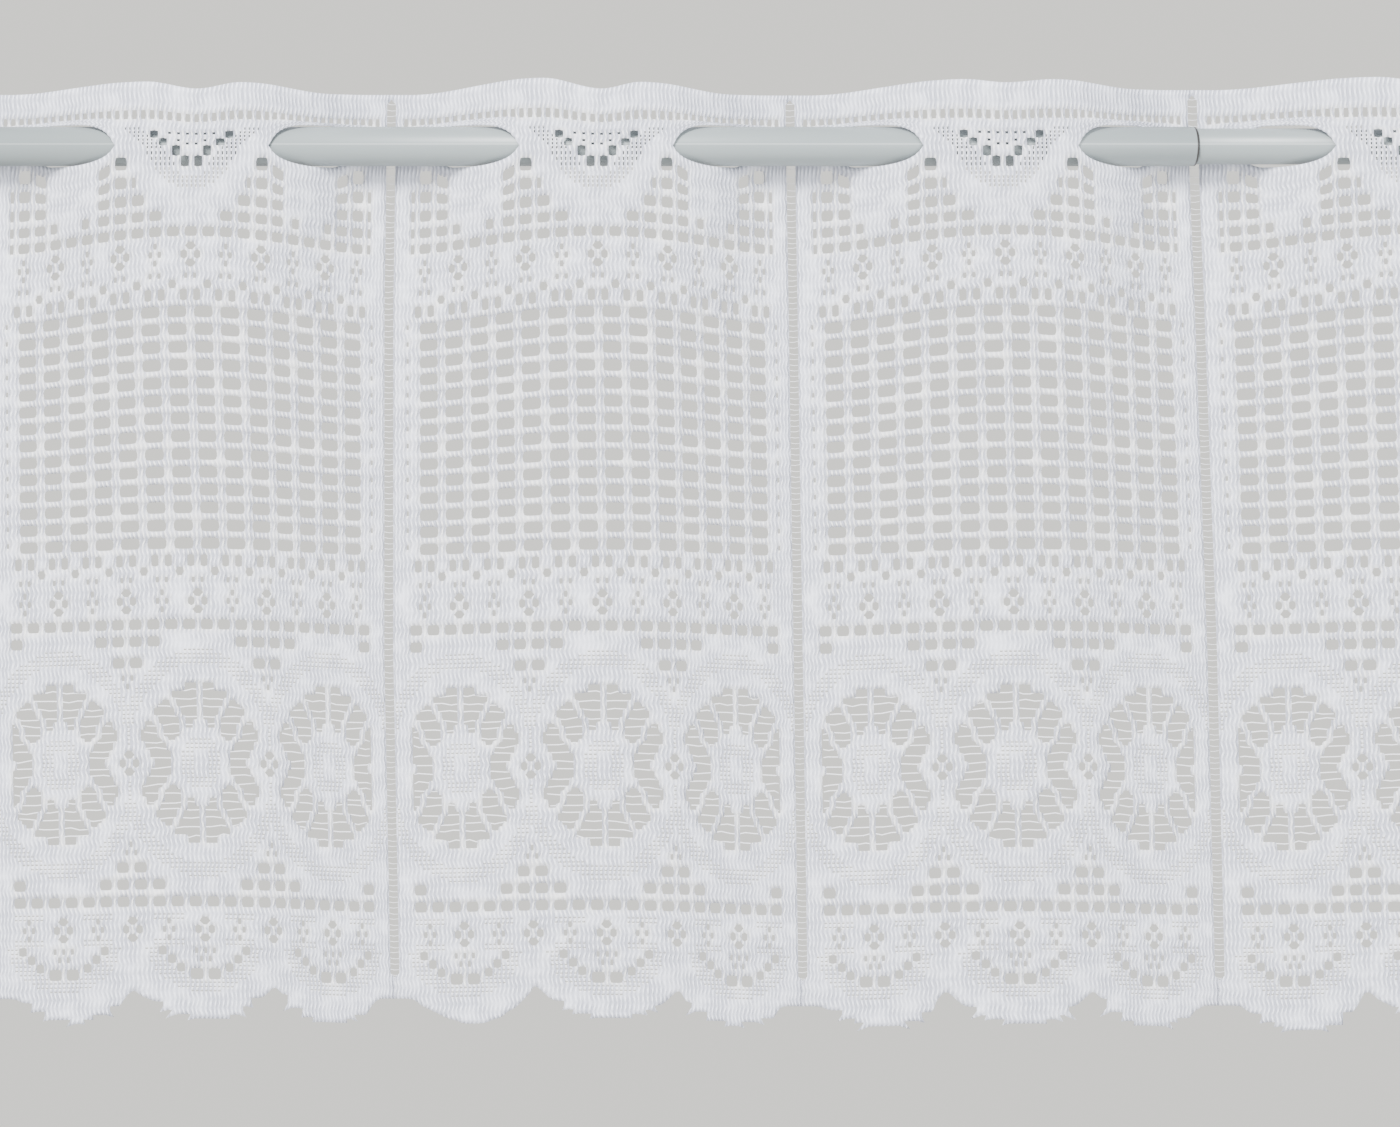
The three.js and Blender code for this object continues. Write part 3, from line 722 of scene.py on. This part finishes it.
class FlatLace:
    """A repeat's cloth in the flat: corners in chart units, faces, and the edges of its openings."""

    SIDES = ((-1, 0), (0, 1), (1, 0), (0, -1))
    CORNERS = ((0, 0), (0, 1), (1, 1), (1, 0))
    # For each corner of a cell, the two openings beside it, in the order that its outline meets them.
    SPLITS = (("bottom_left", "top_right"), ("top_left", "bottom_right"),
              ("top_right", "bottom_left"), ("bottom_right", "top_left"))
    PULLS = {"top_left": (-1, -1), "top_right": (1, -1), "bottom_left": (-1, 1), "bottom_right": (1, 1)}
    SPLIT_PULL = 0.12
    GAUZE_HOLE = (0.3, 0.14)
    BRIDGE_GAUZE_HOLE = (0.15, 0.31)
    BRIDGE_LAST_ROW = 12
    # What lies past an edge that isn't an opening's: the cut hem, or a selvedge, slit or top edge.
    PAST_HEM = Chart.NO_OPENING
    PAST_SIDE = -2

    def __init__(self, chart, panel):
        self.chart = chart
        self.panel = panel
        levels = (chart.row_grid - SLIT_ROW) * ROW_HEIGHT
        beyond = levels > cut_edge(panel, chart.offset_grid + CENTRE_WALE)
        self.solid = (chart.opening < 0) & ~beyond
        self.points = []
        self.headings = []
        self.faces = []
        self.ids = {}
        self.next_on_edge = {}
        self.edge_opening = {}
        self.gauze_points = []
        self.slit_line = int(SLIT_ROW + 0.5 - TOP_ROW)
        self.add_cells()
        self.shape_openings()

    def in_chart(self, row, column):
        return 0 <= row < self.solid.shape[0] and 0 <= column < self.solid.shape[1]

    def is_solid(self, row, column):
        return self.in_chart(row, column) and self.solid[row, column]

    def point(self, row_line, column_line, tag, heading):
        key = (row_line, column_line, tag)
        if key not in self.ids:
            offset = column_line - EDGE_OFFSET - 0.5
            row = row_line + TOP_ROW - 0.5
            if abs(offset) > EDGE_OFFSET:
                neighbour = self.panel + math.copysign(1, offset)
                beside_ladder = LADDER_FIRST_ROW < row < LADDER_LAST_ROW and 0 <= neighbour < PANELS
                offset = math.copysign(LADDER_EDGE if beside_ladder else CENTRE_WALE, offset)
            if tag in self.PULLS:
                across, down = self.PULLS[tag]
                offset += across * self.SPLIT_PULL
                row += down * self.SPLIT_PULL
            self.ids[key] = self.add_point(offset, row, heading)
        return self.ids[key]

    def add_point(self, offset, row, heading):
        self.points.append([offset, row])
        self.headings.append(heading)
        return len(self.points) - 1

    def corner_ids(self, row, column, corner):
        down, across = self.CORNERS[corner]
        row_line, column_line = row + down, column + across
        heading = row < self.slit_line
        if row_line == self.slit_line:
            wale = column_line - EDGE_OFFSET - 0.5 + CENTRE_WALE
            if slit_half_height(self.panel, np.array(wale), heading) > 0:
                return [self.point(row_line, column_line, "upper" if heading else "lower", heading)]
        opposite = self.is_solid(row_line - 1 + down, column_line - 1 + across)
        beside = self.is_solid(row_line - 1 + down, column_line - across)
        other = self.is_solid(row_line - down, column_line - 1 + across)
        if opposite and not beside and not other:
            return [self.point(row_line, column_line, tag, heading) for tag in self.SPLITS[corner]]
        return [self.point(row_line, column_line, "", heading)]

    def add_cells(self):
        for row, column in zip(*np.nonzero(self.solid)):
            corners = [self.corner_ids(row, column, corner) for corner in range(4)]
            for side, (down, across) in enumerate(self.SIDES):
                start, end = corners[side][-1], corners[(side + 1) % 4][0]
                near = (row + down, column + across)
                slit = row + max(down, 0) == self.slit_line and down != 0
                if not self.is_solid(*near):
                    self.next_on_edge[start] = end
                    self.edge_opening[start] = self.past_edge(near)
                elif slit and self.is_slit_side(start, end):
                    self.next_on_edge.setdefault(start, end)
                    self.edge_opening.setdefault(start, self.PAST_SIDE)
            outline = [point for corner in corners for point in corner]
            if self.chart.gauze[row, column] and len(outline) == 4:
                self.add_gauze(row, column, outline)
            else:
                self.faces.append(outline)

    def past_edge(self, cell):
        """The opening that an empty cell belongs to, or what else lies there."""
        return self.chart.opening[cell] if self.in_chart(*cell) else self.PAST_SIDE

    def is_slit_side(self, start, end):
        return self.points[start][1] == SLIT_ROW and self.headings[start] == self.headings[end]

    def add_gauze(self, row, column, outline):
        centre = (column - EDGE_OFFSET, row + TOP_ROW)
        hole = self.BRIDGE_GAUZE_HOLE if centre[1] < self.BRIDGE_LAST_ROW else self.GAUZE_HOLE
        inner = []
        for down, across in self.CORNERS:
            offset = centre[0] + (2 * across - 1) * hole[0]
            inner.append(self.add_point(offset, centre[1] + (2 * down - 1) * hole[1],
                                        self.headings[outline[0]]))
        self.gauze_points.extend(inner)
        for side in range(4):
            after = (side + 1) % 4
            self.faces.append([outline[side], outline[after], inner[after], inner[side]])

    def openness(self):
        """1 at the corners of openings and of gauze, 0 in the dense knit."""
        value = np.zeros(len(self.points))
        value[[point for point, opening in self.edge_opening.items() if opening >= 0]] = 1
        value[self.gauze_points] = 1
        return value

    def loops(self):
        """Follows the cloth's free edges round each opening and along the hem."""
        waiting = dict(self.next_on_edge)
        while waiting:
            start, after = next(iter(waiting.items()))
            loop = [start]
            del waiting[start]
            while after != start and after in waiting:
                loop.append(after)
                after = waiting.pop(after)
            yield loop, after == start

    def shape_openings(self):
        points = np.array(self.points)
        for loop, closed in self.loops():
            opening = self.edge_opening[loop[0]]
            if not closed or opening < 0 or any(self.edge_opening[point] != opening for point in loop):
                continue
            outline = self.chart.outlines[opening]
            if outline is None:
                points[loop] = smoothed_loop(points[loop])
            else:
                points[loop] = rounded_box(points[loop], outline)
        self.smooth_hem(points)
        self.points = points

    def smooth_hem(self, points):
        """Softens the steps where the scallops were cut out, and leaves snipped yarn ends on some."""
        before = {end: start for start, end in self.next_on_edge.items()}
        hem = [p for p in self.next_on_edge
               if self.edge_opening[p] == self.PAST_HEM
               and self.edge_opening.get(before.get(p)) == self.PAST_HEM]
        steps = [p for p in hem if is_jagged(self.panel, points[p][0] + CENTRE_WALE)
                 and abs(points[p][0] - nearest_scallop(points[p][0])) < SMOOTH_FROM_WALES]
        corners = [p for p in steps if self.is_corner(points, before[p], p)]
        rounded = [p for p in hem if p not in steps]
        for _ in range(HEM_SMOOTHING_PASSES):
            moved = {p: (points[p] * 2 + points[self.next_on_edge[p]] + points[before[p]]) / 4
                     for p in rounded}
            for p, place in moved.items():
                points[p] = place
        random = np.random.default_rng(self.panel + SNIP_SEED)
        for p in corners:
            outward = math.copysign(1, points[p][0] - nearest_scallop(points[p][0]))
            length = random.gamma(SNIP_SPREAD["shape"], SNIP_SPREAD["scale"])
            points[p] += np.array(SNIPPED_YARN) * (outward, 1) * length

    def is_corner(self, points, before, point):
        """True where the hem turns round an outward corner of a step."""
        into, out = points[point] - points[before], points[self.next_on_edge[point]] - points[point]
        return into[0] * out[1] - into[1] * out[0] > 0


def rounded_box(points, outline):
    centre = np.array(outline["centre"])
    half = np.array(outline["size"]) / 2
    power = outline["squareness"]
    away = points - centre
    reach = (np.abs(away / half) ** power).sum(axis=1, keepdims=True) ** (1 / power)
    return centre + away / reach


def smoothed_loop(points):
    """Rounds an opening's corners, and narrows it by the yarn that lies along its edge."""
    after, before = np.roll(points, -1, axis=0), np.roll(points, 1, axis=0)
    area = (points[:, 0] * after[:, 1] - points[:, 1] * after[:, 0]).sum()
    along = after - before
    inward = np.stack([-along[:, 1], along[:, 0]], axis=1) * np.sign(area)
    inward /= np.maximum(np.linalg.norm(inward, axis=1, keepdims=True), SHORTEST_WAY)
    return mix(points, (after + before) / 2, OPENING_SMOOTHING) + inward * EDGE_YARN


def add_object(name, data, location=(0, 0, 0)):
    made = bpy.data.objects.new(name, data)
    made.location = location
    bpy.context.collection.objects.link(made)
    return made


def make_object(name, vertices, faces, material, smooth=True):
    """Makes a mesh object from vertices in millimetres."""
    mesh = bpy.data.meshes.new(name)
    mesh.from_pydata((np.asarray(vertices) * MM).tolist(), [], faces)
    mesh.materials.append(material)
    mesh.shade_smooth() if smooth else mesh.shade_flat()
    mesh.update()
    return add_object(name, mesh)


def add_stitch_map(mesh, offsets, rows, openness):
    """Gives each vertex its wale, its row and how open the knit is there, which the material reads."""
    stitch = mesh.attributes.new("stitch", "FLOAT_VECTOR", "POINT")
    values = np.stack([offsets, rows, openness], axis=1)
    stitch.data.foreach_set("vector", values.astype(np.float32).ravel())


def make_repeat(chart, panel, material):
    """One repeat of the lace: front and back faces a yarn's thickness apart, closed along each edge."""
    flat = FlatLace(chart, panel)
    offsets, rows = flat.points[:, 0], flat.points[:, 1]
    heading = np.array(flat.headings)
    middle = hang(panel, offsets, rows, heading)
    shift = cloth_normals(panel, offsets, rows, heading) * CLOTH_THICKNESS / 2
    count = len(middle)
    edges = {}
    for face in flat.faces:
        for start, end in zip(face, face[1:] + face[:1]):
            if (end, start) in edges:
                del edges[(end, start)]
            else:
                edges[(start, end)] = True
    front = [face[::-1] for face in flat.faces]
    back = [[point + count for point in face] for face in flat.faces]
    walls = [[start, end, end + count, start + count] for start, end in edges]
    vertices = np.concatenate([middle - shift, middle + shift])
    piece = make_object(f"lace_repeat_{panel + 1}", vertices, front + back + walls, material)
    add_stitch_map(piece.data, np.tile(offsets, 2), np.tile(rows, 2), np.tile(flat.openness(), 2))
    return piece


def tubes_mesh(paths_of_radius, sides=YARN_SIDES):
    """Vertices and faces of thin yarns, from pairs of a radius and its paths, in millimetres."""
    vertices, faces = [], []
    turns = np.arange(sides) * 2 * np.pi / sides
    for radius, path in [(radius, path) for radius, paths in paths_of_radius for path in paths]:
        path = np.asarray(path)
        along = np.gradient(path, axis=0)
        along /= np.linalg.norm(along, axis=1, keepdims=True)
        side = np.cross(along, (0.0, 1.0, 0.0))
        side /= np.maximum(np.linalg.norm(side, axis=1, keepdims=True), 1e-9)
        out = np.cross(side, along)
        start = len(vertices)
        for spot, a, b in zip(path, side, out):
            vertices.extend(spot + radius * (np.cos(turn) * a + np.sin(turn) * b) for turn in turns)
        for ring in range(len(path) - 1):
            base = start + ring * sides
            for k in range(sides):
                after = (k + 1) % sides
                faces.append([base + k, base + after, base + after + sides, base + k + sides])
        last = start + (len(path) - 1) * sides
        faces.append([start + k for k in reversed(range(sides))])
        faces.append([last + k for k in range(sides)])
    return vertices, faces


def ladder_paths(random):
    """The thin rungs that join one repeat to the next."""
    paths = []
    step = LADDER_STEP / ROW_HEIGHT
    inner = LADDER_EDGE - RUNG_INSET
    for seam in range(1, PANELS):
        above, below = np.arange(TOP_ROW, -0.5, step), np.arange(1, LADDER_LAST_ROW, step)
        for heading, rows in ((True, above), (False, below)):
            for row in rows:
                flag = np.array([heading])
                tilt = random.uniform(-RUNG_TILT, RUNG_TILT)
                start = hang(seam - 1, np.array([inner]), np.array([row]), flag)[0]
                end = hang(seam, np.array([-inner]), np.array([row + tilt]), flag)[0]
                middle = mix(start, end, 0.5) + np.array([0, 0, -RUNG_SAG])
                paths.append([start, middle, end])
    return paths


def medallion_paths(random):
    """The fine threads laid across a medallion's openings."""
    paths = []
    count = THREAD_POINTS
    for panel in range(PANELS):
        for offset in MEDALLION_OFFSETS:
            for step in np.arange(*THREAD_STEPS):
                row = MEDALLION_ROW + step * THREAD_SPACING + random.uniform(-THREAD_SHIFT, THREAD_SHIFT)
                reach = MEDALLION_REACH[0] * math.sqrt(max(0, 1 - (step / THREAD_OVAL) ** 2))
                spots = np.linspace(-reach, reach, count) + offset
                spots = np.clip(spots, -MEDALLION_CLIP, MEDALLION_CLIP)
                slant = random.uniform(-THREAD_SLANT, THREAD_SLANT)
                wobble = random.uniform(-THREAD_WOBBLE, THREAD_WOBBLE, count)
                rows = row + np.linspace(-slant, slant, count) + wobble
                paths.append(hang(panel, spots, rows, np.zeros(count, bool)))
    return paths


def turned(name, profile, material, sides=TURNED_SIDES):
    """A piece turned about the rod's axis from pairs of place along the rod and radius."""
    turns = np.arange(sides) * 2 * np.pi / sides
    vertices, rings = [], []
    for along, radius in profile:
        if radius == 0:
            rings.append([len(vertices)] * sides)
            vertices.append((along, 0, 0))
        else:
            rings.append(list(range(len(vertices), len(vertices) + sides)))
            vertices.extend((along, radius * np.cos(turn), radius * np.sin(turn)) for turn in turns)
    faces = []
    for near, far in zip(rings, rings[1:]):
        for k in range(sides):
            after = (k + 1) % sides
            face = [near[k], far[k], far[after], near[after]]
            faces.append(list(dict.fromkeys(face)))
    return make_object(name, vertices, faces, material)


def principled(name, color, roughness):
    material = bpy.data.materials.new(name)
    material.use_nodes = True
    shader = material.node_tree.nodes["Principled BSDF"]
    shader.inputs["Base Color"].default_value = (*color, 1)
    shader.inputs["Roughness"].default_value = roughness
    return material, shader


class Nodes:
    """Short ways to add shader nodes to one material."""

    def __init__(self, material):
        self.tree = material.node_tree

    def link(self, source, target):
        self.tree.links.new(source, target)

    def node(self, kind, **settings):
        made = self.tree.nodes.new(kind)
        for key, value in settings.items():
            setattr(made, key, value)
        return made

    def math(self, operation, *values):
        made = self.node("ShaderNodeMath", operation=operation)
        for socket, value in zip(made.inputs, values):
            if isinstance(value, (int, float)):
                socket.default_value = value
            else:
                self.link(value, socket)
        return made.outputs[0]

    def away_from(self, value, middle):
        return self.math("ABSOLUTE", self.math("SUBTRACT", value, middle))

    def parts(self, vector):
        made = self.node("ShaderNodeSeparateXYZ")
        self.link(vector, made.inputs[0])
        return made.outputs

    def mix_color(self, share, low, high):
        made = self.node("ShaderNodeMix", data_type="RGBA")
        self.link(share, made.inputs["Factor"])
        for name, value in (("A", low), ("B", high)):
            socket = next(s for s in made.inputs if s.name == name and s.type == "RGBA")
            if isinstance(value, tuple):
                socket.default_value = (*value, 1)
            else:
                self.link(value, socket)
        return next(s for s in made.outputs if s.type == "RGBA")


def add_noise(nodes, scale, detail=None, place=None):
    """A noise texture, at a place of its own where one is given."""
    noise = nodes.node("ShaderNodeTexNoise")
    noise.inputs["Scale"].default_value = scale
    if detail is not None:
        noise.inputs["Detail"].default_value = detail
    if place is not None:
        nodes.link(place, noise.inputs["Vector"])
    return noise.outputs["Fac"]


def add_bump(nodes, shader, height, strength, distance):
    """Raises a shader's surface by a height, over a distance in millimetres."""
    bump = nodes.node("ShaderNodeBump")
    bump.inputs["Strength"].default_value = strength
    bump.inputs["Distance"].default_value = distance * MM
    nodes.link(height, bump.inputs["Height"])
    nodes.link(bump.outputs[0], shader.inputs["Normal"])


def strand_height(nodes, place, wale, row):
    """1 on the crown of each zigzag strand and 0 in the grooves between them."""
    turns = nodes.math("FRACT", nodes.math("MULTIPLY_ADD", row, 1 / STITCH_ROWS, ROWS_ASIDE))
    sway = nodes.math("SUBTRACT", nodes.away_from(turns, 0.5), 0.25)
    noise = add_noise(nodes, STRAND_NOISE["scale"], STRAND_NOISE["detail"], place)
    uneven = nodes.math("MULTIPLY_ADD", noise, STRAND_NOISE["reach"], -STRAND_NOISE["reach"] / 2)
    strand = nodes.math("MULTIPLY_ADD", sway, 4 * STITCH_SWAY, wale)
    strand = nodes.math("ADD", strand, nodes.math("ADD", uneven, WALES_ASIDE))
    away = nodes.away_from(nodes.math("FRACT", strand), 0.5)
    knot = nodes.math("COSINE", nodes.math("MULTIPLY", row, 4 * math.pi / STITCH_ROWS))
    height = nodes.node("ShaderNodeMapRange", interpolation_type="SMOOTHSTEP")
    nodes.link(away, height.inputs["Value"])
    nodes.link(nodes.math("MULTIPLY_ADD", knot, KNOT_SWELL, STRAND_HALF_WIDTH), height.inputs["From Min"])
    height.inputs["From Max"].default_value = STRAND_CROWN
    lowered = nodes.math("MULTIPLY_ADD", knot, KNOT_DIP, STRAND_HEIGHT)
    return nodes.math("MULTIPLY", height.outputs["Result"], lowered)


def lace_material():
    """Zigzag stitches, one to a wale, that slant one way and then the other; their grooves get painted
    shade.
    """
    material, shader = principled("lace_yarn", YARN_COLOR, YARN_ROUGHNESS)
    shader.inputs["Sheen Weight"].default_value = YARN_SHEEN["weight"]
    shader.inputs["Sheen Roughness"].default_value = YARN_SHEEN["roughness"]
    nodes = Nodes(material)
    place = nodes.node("ShaderNodeAttribute", attribute_name="stitch").outputs["Vector"]
    parts = nodes.parts(place)
    height = strand_height(nodes, place, parts["X"], parts["Y"])
    patches = add_noise(nodes, PATCH_NOISE["scale"], PATCH_NOISE["detail"], place)
    depth = nodes.math("MULTIPLY_ADD", patches, PATCH_NOISE["gain"], PATCH_NOISE["offset"])
    height = nodes.math("MULTIPLY_ADD", nodes.math("SUBTRACT", height, 1.0), depth, 1.0)
    add_bump(nodes, shader, height, KNIT_BUMP["strength"], KNIT_BUMP["distance"])
    # The colour darkens from the yarn to the groove colour as the strands' height falls: painted shade.
    yarn = nodes.mix_color(parts["Z"], YARN_COLOR, YARN_CREAM)
    nodes.link(nodes.mix_color(height, YARN_GROOVE_SHADE, yarn), shader.inputs["Base Color"])
    return material


def thread_material():
    material, shader = principled("lace_thread", YARN_COLOR, THREAD_ROUGHNESS)
    nodes = Nodes(material)
    color = nodes.mix_color(add_noise(nodes, THREAD_GRAIN), *THREAD_COLORS)
    nodes.link(color, shader.inputs["Base Color"])
    return material


def rod_material():
    """Satin coat with a painted highlight line along the front, and painted shade at the outer tube's cut
    end.
    """
    material, shader = principled("rod_coat", ROD_COAT, ROD_ROUGHNESS["start"])
    nodes = Nodes(material)
    parts = nodes.parts(nodes.node("ShaderNodeTexCoord").outputs["Object"])
    # A thin painted highlight line along the front of the tubes, standing for a reflection.
    off_highlight = nodes.away_from(parts["Z"], HIGHLIGHT_PLACE * MM)
    in_front = nodes.math("LESS_THAN", parts["Y"], 0.0)
    seam = nodes.math("MULTIPLY", nodes.math("LESS_THAN", off_highlight, HIGHLIGHT_HALF_WIDTH * MM), in_front)
    # A near-black band of painted shade round the outer tube's cut end.
    squared = nodes.math("MULTIPLY_ADD", parts["Y"], CUT_SLANT, parts["X"])
    off_cut_shade = nodes.away_from(squared, (OUTER_TUBE_END - CUT_SHADE_WIDTH / 2) * MM)
    cut_shade = nodes.math("LESS_THAN", off_cut_shade, CUT_SHADE_WIDTH / 2 * MM)
    coat = nodes.mix_color(cut_shade, nodes.mix_color(seam, ROD_COAT, ROD_HIGHLIGHT), ROD_CUT_SHADE)
    nodes.link(coat, shader.inputs["Base Color"])
    noise = add_noise(nodes, ROD_ROUGHNESS["grain"])
    roughness = nodes.math("MULTIPLY_ADD", noise, ROD_ROUGHNESS["spread"], ROD_ROUGHNESS["least"])
    nodes.link(roughness, shader.inputs["Roughness"])
    return material


def cap_material():
    material, shader = principled("cap_rubber", CAP_COLOR, CAP_ROUGHNESS)
    nodes = Nodes(material)
    noise = add_noise(nodes, CAP_GRAIN["scale"])
    add_bump(nodes, shader, noise, CAP_GRAIN["strength"], CAP_GRAIN["distance"])
    return material


def make_tube(name, start, end, radius, material, slant=0):
    """A tube with a small chamfer round its right end, which is cut at a slant where one is given."""
    bore = radius - TUBE_WALL
    lip = TUBE_WALL / 2
    outside = ((start, radius), (end - lip, radius), (end, radius - lip))
    tube = turned(name, ((start, bore), *outside, (end, bore), (start, bore)), material)
    for vertex in tube.data.vertices:
        if vertex.co.x > (end - CUT_REACH) * MM:
            vertex.co.x -= slant * vertex.co.y
    return tube


def make_cap(name, tube_radius, mirrored, material):
    """A cap on the rod's left end, or its mirror image on the right: a blind bore in a round block."""
    round_edge = [(CAP_ROUNDING * (1 - math.cos(turn)),
                   CAP_RADIUS - CAP_ROUNDING + CAP_ROUNDING * math.sin(turn))
                  for turn in np.linspace(0, math.pi / 2, 6)]
    bore = tube_radius + CAP_CLEARANCE
    profile = [(0, 0), *round_edge, (CAP_LENGTH - CAP_CHAMFER, CAP_RADIUS),
               (CAP_LENGTH, CAP_RADIUS - CAP_CHAMFER), (CAP_LENGTH, bore), (CAP_FLOOR, bore), (CAP_FLOOR, 0)]
    if mirrored:
        profile = [(ROD_LENGTH - along, radius) for along, radius in reversed(profile)]
    return turned(name, profile, material)


def add_camera():
    camera = bpy.data.cameras.new("camera")
    camera.sensor_width = SENSOR_WIDTH
    camera.lens = camera.sensor_width * -CAMERA_PLACE[1] / PICTURE_WIDTH
    camera.clip_end = VIEW_LIMIT
    holder = add_object("camera", camera, np.array(CAMERA_PLACE) * MM)
    holder.rotation_euler = (math.pi / 2, 0, 0)
    bpy.context.scene.camera = holder


def add_area_light(name, location, target, size, power, color):
    light = bpy.data.lights.new(name, "AREA")
    light.shape = "DISK"
    light.size = size
    light.energy = power
    light.color = color
    holder = add_object(name, light, location)
    away = np.array(location) - np.array(target)
    yaw = math.atan2(away[0], -away[1])
    pitch = math.atan2(np.hypot(away[0], away[1]), away[2])
    holder.rotation_euler = (pitch, 0, yaw)


def add_world():
    """Even studio light before a plain pale backdrop, too far away to light the object."""
    world = bpy.data.worlds.new("studio")
    world.use_nodes = True
    nodes = Nodes(world)
    seen = nodes.node("ShaderNodeLightPath").outputs["Is Camera Ray"]
    shown = nodes.mix_color(seen, STUDIO_LIGHT, BACKDROP_COLOR)
    nodes.link(shown, world.node_tree.nodes["Background"].inputs["Color"])
    bpy.context.scene.world = world


def add_stage():
    add_world()
    for light in LIGHTS:
        add_area_light(target=LIGHT_TARGET, **light)
    material, _ = principled("floor_paint", FLOOR_COLOR, FLOOR_ROUGHNESS)
    half = FLOOR_HALF_WIDTH / MM
    corners = [(-half, -half, 0), (half, -half, 0), (half, half, 0), (-half, half, 0)]
    floor = make_object("floor", corners, [[0, 1, 2, 3]], material, smooth=False)
    floor.location.z = FLOOR_LEVEL


def main():
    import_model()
    random = np.random.default_rng(YARN_SEED)
    yarn = lace_material()
    chart = make_chart()
    repeats = [make_repeat(chart, panel, yarn) for panel in range(PANELS)]
    paths = ((LADDER_YARN_RADIUS, ladder_paths(random)), (THREAD_RADIUS, medallion_paths(random)))
    threads = make_object("lace_threads", *tubes_mesh(paths), thread_material())
    for piece in [*repeats, threads]:
        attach(piece, "root")
        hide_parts("lace")

    coat = rod_material()
    rubber = cap_material()
    inner_start = OUTER_TUBE_END - TUBE_OVERLAP
    inner_end = ROD_LENGTH - TUBE_SEAT
    outer = make_tube("rod_outer", TUBE_SEAT, OUTER_TUBE_END, ROD_RADIUS, coat, CUT_SLANT)
    inner = make_tube("rod_inner", inner_start, inner_end, INNER_TUBE_RADIUS, coat)
    fittings = (
        (outer, "outer_tube", "rod_coat"),
        (inner, "inner_tube", "rod_coat"),
        (make_cap("cap_left", ROD_RADIUS, False, rubber), "left_cap", "cap_rubber"),
        (make_cap("cap_right", INNER_TUBE_RADIUS, True, rubber), "right_cap", "cap_rubber"),
    )
    for piece, node, slot in fittings:
        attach(piece, "root")
        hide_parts(node)

    add_stage()
    add_camera()


main()
